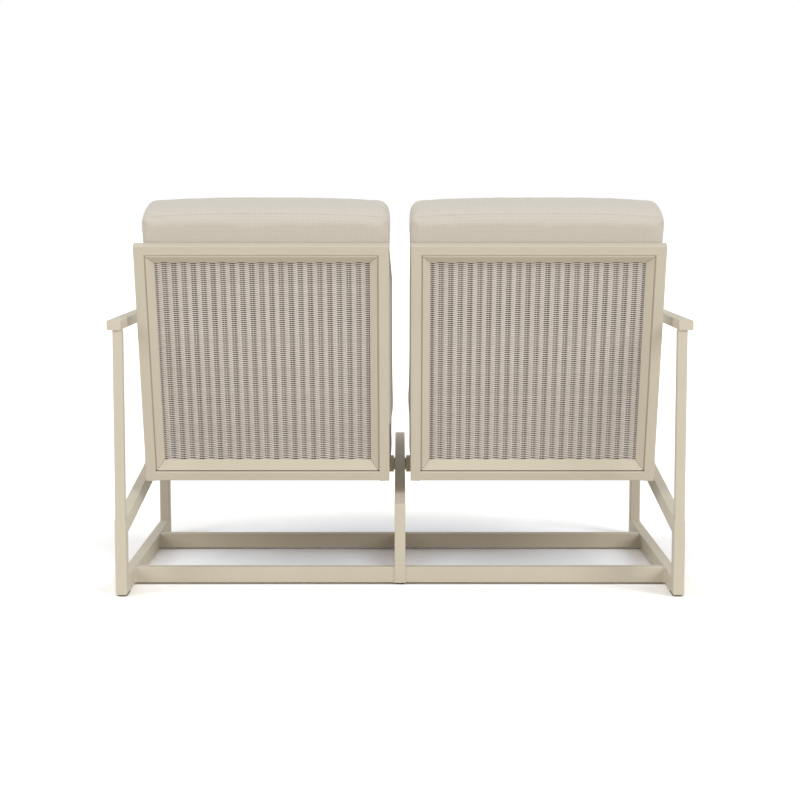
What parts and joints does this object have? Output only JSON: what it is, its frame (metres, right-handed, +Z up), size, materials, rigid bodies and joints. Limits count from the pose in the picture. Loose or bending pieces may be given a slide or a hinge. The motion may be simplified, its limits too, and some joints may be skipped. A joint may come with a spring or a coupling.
{
  "type": "outdoor rocking bench",
  "caption": "Outdoor bench whose cushioned seats rock separately on rubber torsion axles, in a fixed tube base with armrests and woven backs.",
  "frame": {"origin": "on the floor, at the middle of the bench's width and depth", "axes": "+X towards the sitter's left, -Y the way the sitter faces, +Z up"},
  "size_m": [1.4, 0.898, 0.9636],
  "materials": {
    "frame_paint": "matt powder coat, warm beige",
    "woven_fabric": "woven outdoor yarn in upright ribs",
    "seat_sling": "plain woven sling",
    "cushion_fabric": "fine plain-weave outdoor fabric, pale beige",
    "rubber": "smooth black rubber",
    "steel": "zinc plated",
    "glide_plastic": "moulded nylon"
  },
  "bodies": {
    "base": {"armrest_left": "frame_paint", "armrest_plugs": "frame_paint", "armrest_right": "frame_paint", "bearer_rail_left": "frame_paint", "bearer_rail_right": "frame_paint", "centre_bearer_rail": "frame_paint", "centre_foot_rail": "frame_paint", "centre_front_post": "frame_paint", "centre_rear_post": "frame_paint", "core_bolts": "steel", "foot_glides": "glide_plastic", "front_arm_post_left": "frame_paint", "front_arm_post_right": "frame_paint", "front_leg_left": "frame_paint", "front_leg_right": "frame_paint", "front_stretcher_left": "frame_paint", "front_stretcher_right": "frame_paint", "rear_arm_post_left": "frame_paint", "rear_arm_post_right": "frame_paint", "rear_leg_left": "frame_paint", "rear_leg_right": "frame_paint", "rear_stretcher_left": "frame_paint", "rear_stretcher_right": "frame_paint", "sled_rail_left": "frame_paint", "sled_rail_right": "frame_paint", "thrust_washers": "glide_plastic", "torsion_cores": "steel"},
    "left_seat": {"left_axle_tube": "frame_paint", "left_back_bottom_rail": "frame_paint", "left_back_cushion": "cushion_fabric", "left_back_stile_inner": "frame_paint", "left_back_stile_outer": "frame_paint", "left_back_top_rail": "frame_paint", "left_bracket_bolts": "steel", "left_panel_moulding": "frame_paint", "left_pivot_brackets": "frame_paint", "left_rubber_cords": "rubber", "left_seat_cushion": "cushion_fabric", "left_seat_front_rail": "frame_paint", "left_seat_panel": "seat_sling", "left_seat_rail_inner": "frame_paint", "left_seat_rail_outer": "frame_paint", "left_woven_panel": "woven_fabric"},
    "right_seat": {"right_axle_tube": "frame_paint", "right_back_bottom_rail": "frame_paint", "right_back_cushion": "cushion_fabric", "right_back_stile_inner": "frame_paint", "right_back_stile_outer": "frame_paint", "right_back_top_rail": "frame_paint", "right_bracket_bolts": "steel", "right_panel_moulding": "frame_paint", "right_pivot_brackets": "frame_paint", "right_rubber_cords": "rubber", "right_seat_cushion": "cushion_fabric", "right_seat_front_rail": "frame_paint", "right_seat_panel": "seat_sling", "right_seat_rail_inner": "frame_paint", "right_seat_rail_outer": "frame_paint", "right_woven_panel": "woven_fabric"}
  },
  "joints": [
    {"name": "left_seat_rock", "type": "hinge", "parent": "base", "child": "left_seat", "pos_m": [0.33775, -0.17, 0.24199], "axis": [-1, 0, 0], "range_deg": [-6, 10], "stiffness_Nm_per_rad": 450, "springref_deg": -3.47},
    {"name": "right_seat_rock", "type": "hinge", "parent": "base", "child": "right_seat", "pos_m": [-0.33775, -0.17, 0.24199], "axis": [-1, 0, 0], "range_deg": [-6, 10], "stiffness_Nm_per_rad": 450, "springref_deg": -3.47}
  ]
}
